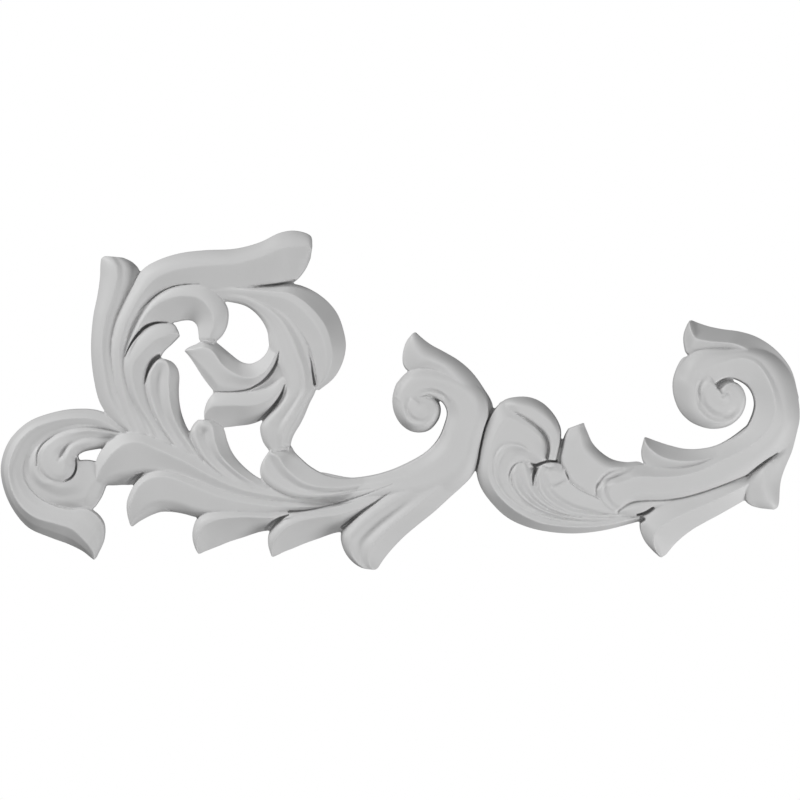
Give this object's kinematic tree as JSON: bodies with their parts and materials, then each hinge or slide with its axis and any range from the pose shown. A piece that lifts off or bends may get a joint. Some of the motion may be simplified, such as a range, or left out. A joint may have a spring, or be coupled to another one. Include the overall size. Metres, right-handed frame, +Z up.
{
  "type": "decorative onlay",
  "caption": "Flat-backed scroll onlay of acanthus leaves, with a tall hooked frond at one side and open volutes, made to be fixed to a wall or panel by its back.",
  "frame": {"origin": "middle of the onlay's width and height, on its flat back", "axes": "+X along the width to the right as seen from the front, +Z up, +Y out of the flat back into the wall; the carving rises towards -Y"},
  "size_m": [0.5104, 0.019, 0.2166],
  "materials": {
    "primer": "smooth matte factory primer on a cast urethane foam"
  },
  "bodies": {
    "root": {"scroll_onlay": "primer"}
  },
  "joints": []
}
